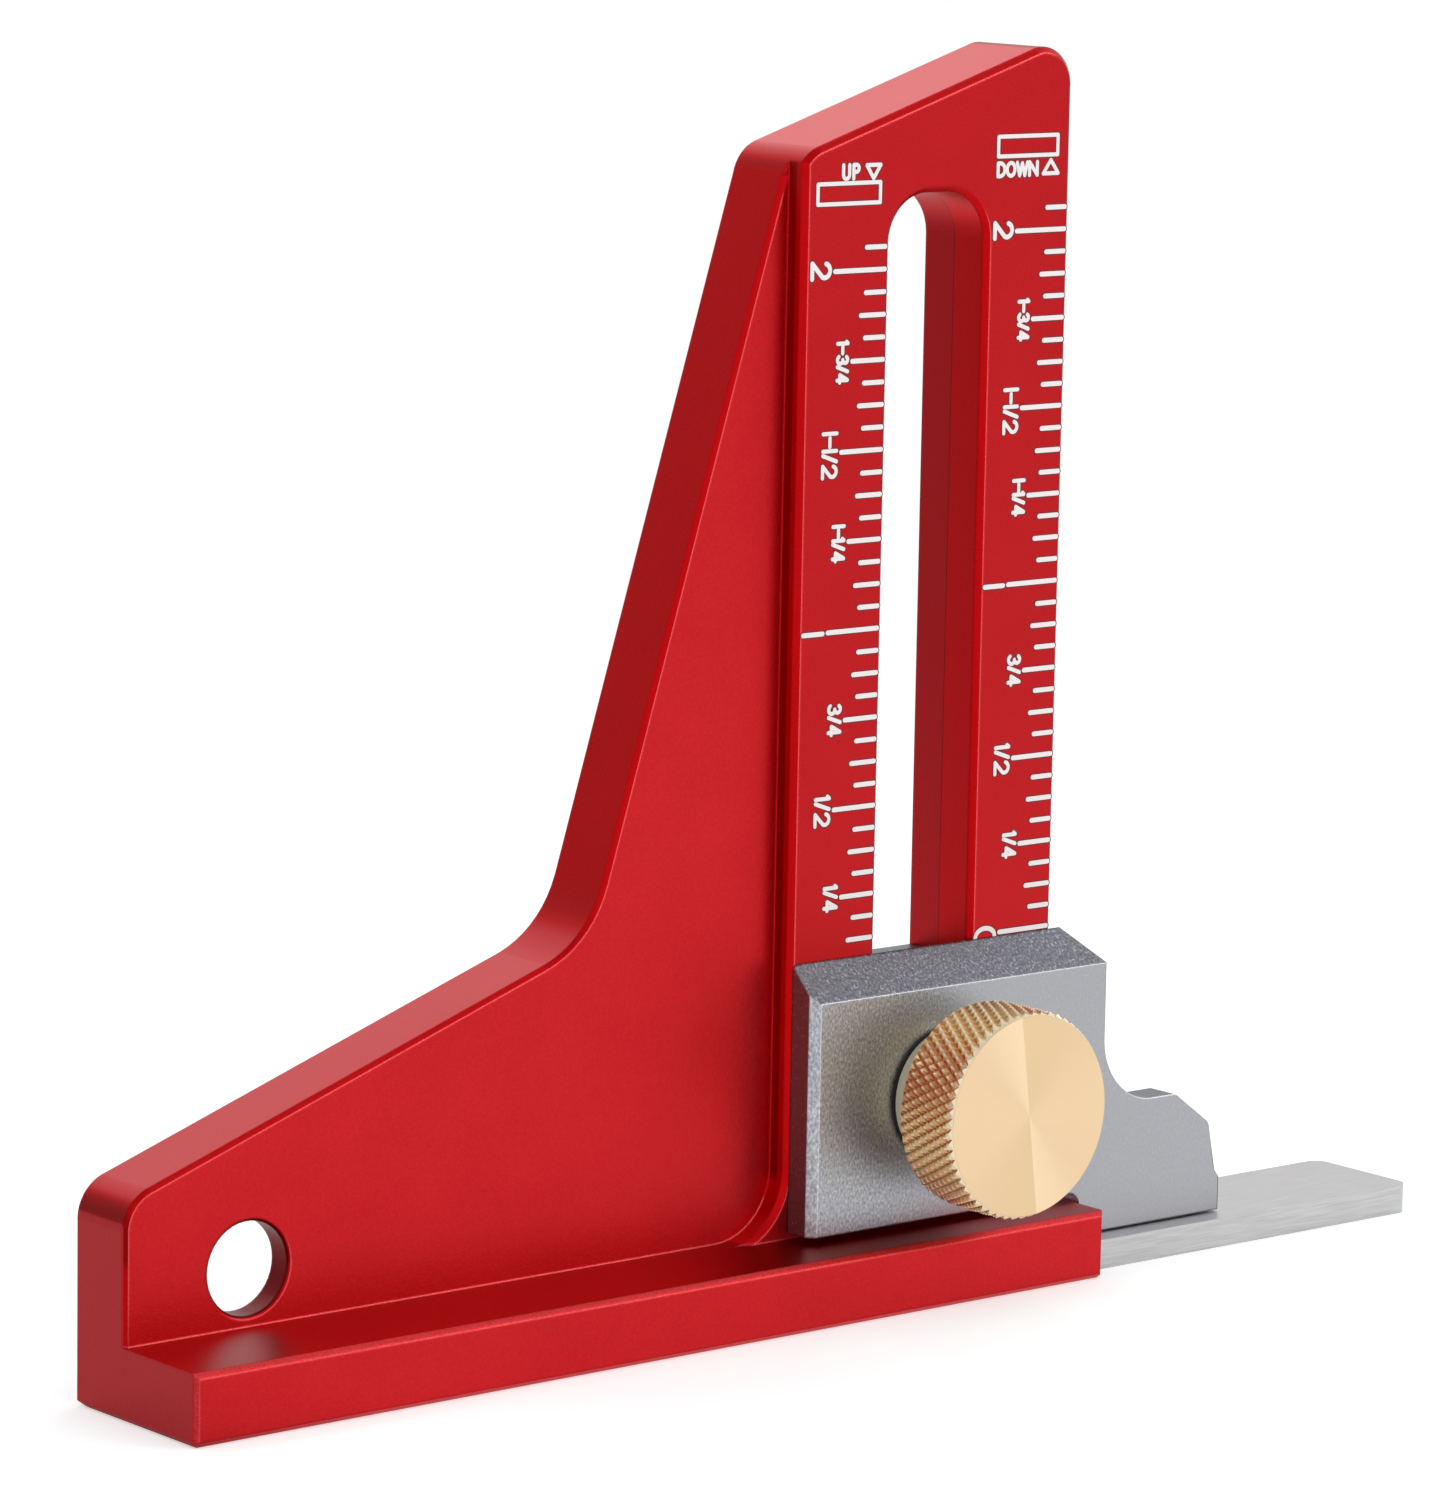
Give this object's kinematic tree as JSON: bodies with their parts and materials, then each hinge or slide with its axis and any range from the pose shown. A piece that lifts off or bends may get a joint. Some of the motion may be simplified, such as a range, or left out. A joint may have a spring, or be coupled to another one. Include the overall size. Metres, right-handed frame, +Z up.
{
  "type": "magnetic height gauge",
  "caption": "Standing height gauge: a one-piece frame with a slotted scale column, a clamped slide with a measuring arm, and a flat bar under the arm.",
  "frame": {"origin": "on the sole, straight below the middle of the slot, in the plane of the scale face", "axes": "+X along the base towards the arm and the bar, +Y from the scale face to the flat back, +Z up"},
  "size_m": [0.1139, 0.021, 0.089],
  "materials": {
    "frame": "red satin anodised",
    "slide": "satin, fine pearl",
    "clamp_knob": "turned face, diamond knurl",
    "knob_washer": "black fibre",
    "clamp_stud": "threaded steel",
    "clamp_nut": "dark steel",
    "base_bar": "satin stainless",
    "bar_screws": "dark steel",
    "base_magnets": "nickel plated"
  },
  "bodies": {
    "base": {"frame": "frame", "base_bar": "base_bar", "bar_screws": "bar_screws", "base_magnets": "base_magnets"},
    "slide": {"slide": "slide", "clamp_nut": "clamp_nut", "knob_washer": "knob_washer"},
    "knob": {"clamp_knob": "clamp_knob", "clamp_stud": "clamp_stud"}
  },
  "joints": [
    {"name": "slide_travel", "type": "slide", "parent": "base", "child": "slide", "axis": [0, 0, 1], "range_m": [0, 0.0508]},
    {"name": "knob_turn", "type": "hinge", "parent": "slide", "child": "knob", "pos_m": [0, -0.009, 0.01456], "axis": [0, -1, 0], "range_deg": [0, 360]}
  ]
}
